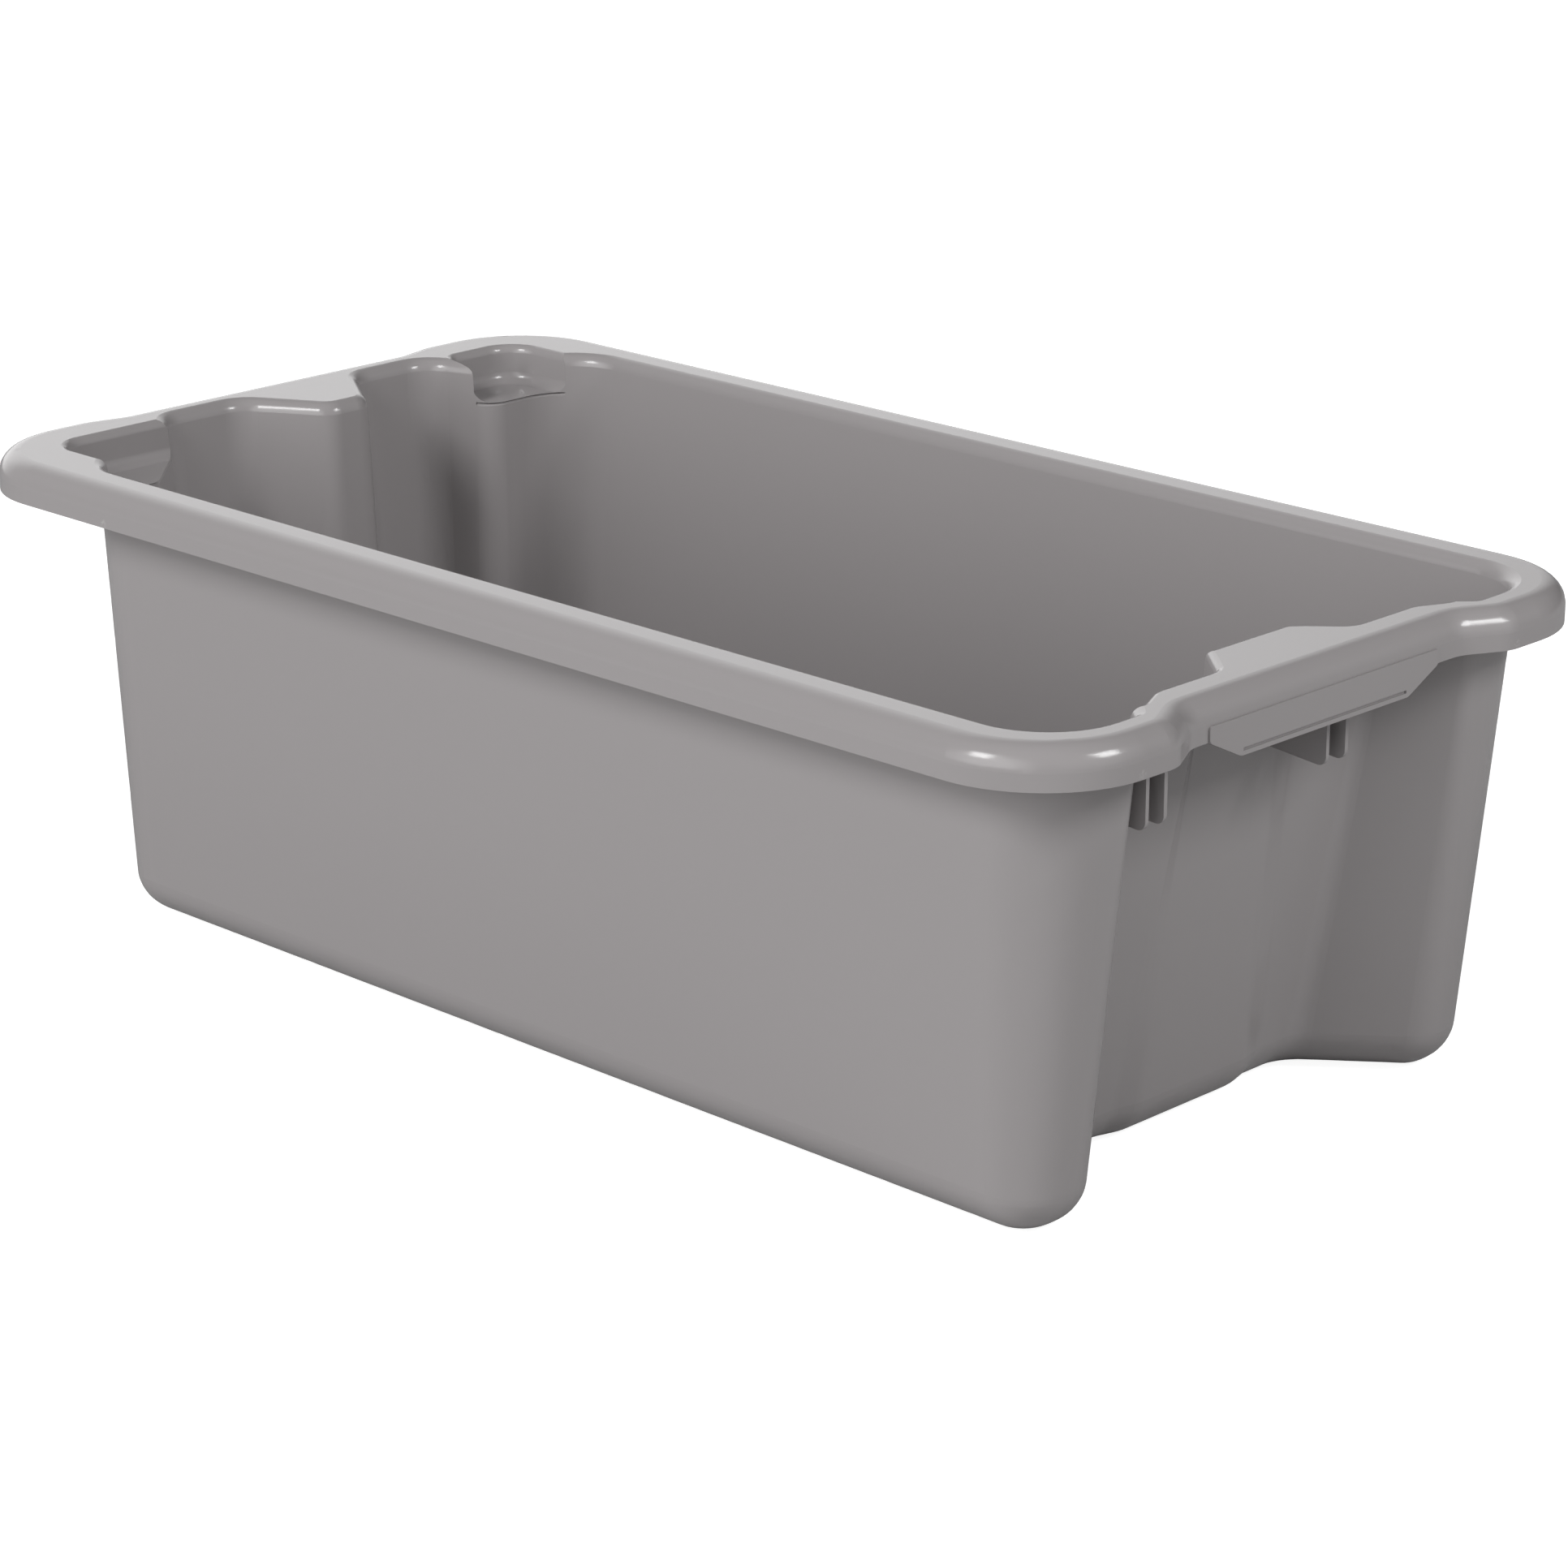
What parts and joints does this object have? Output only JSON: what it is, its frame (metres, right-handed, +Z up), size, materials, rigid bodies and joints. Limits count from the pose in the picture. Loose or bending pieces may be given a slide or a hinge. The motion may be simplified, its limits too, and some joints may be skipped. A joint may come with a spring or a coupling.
{
  "type": "stack and nest container",
  "caption": "Open rectangular plastic tub with a rolled rim, a grip at each end and ledges that let it stack on or nest in its like.",
  "frame": {"origin": "middle of the underside, on the plane the feet stand on", "axes": "+X along the length to the end with the flank ledges and corner feet, +Y across to the far long side, +Z up out of the mouth"},
  "size_m": [0.52, 0.277, 0.168],
  "materials": {
    "grey_plastic": "satin, fine moulded grain, light gloss on the rim"
  },
  "bodies": {
    "root": {"container": "grey_plastic"}
  },
  "joints": []
}
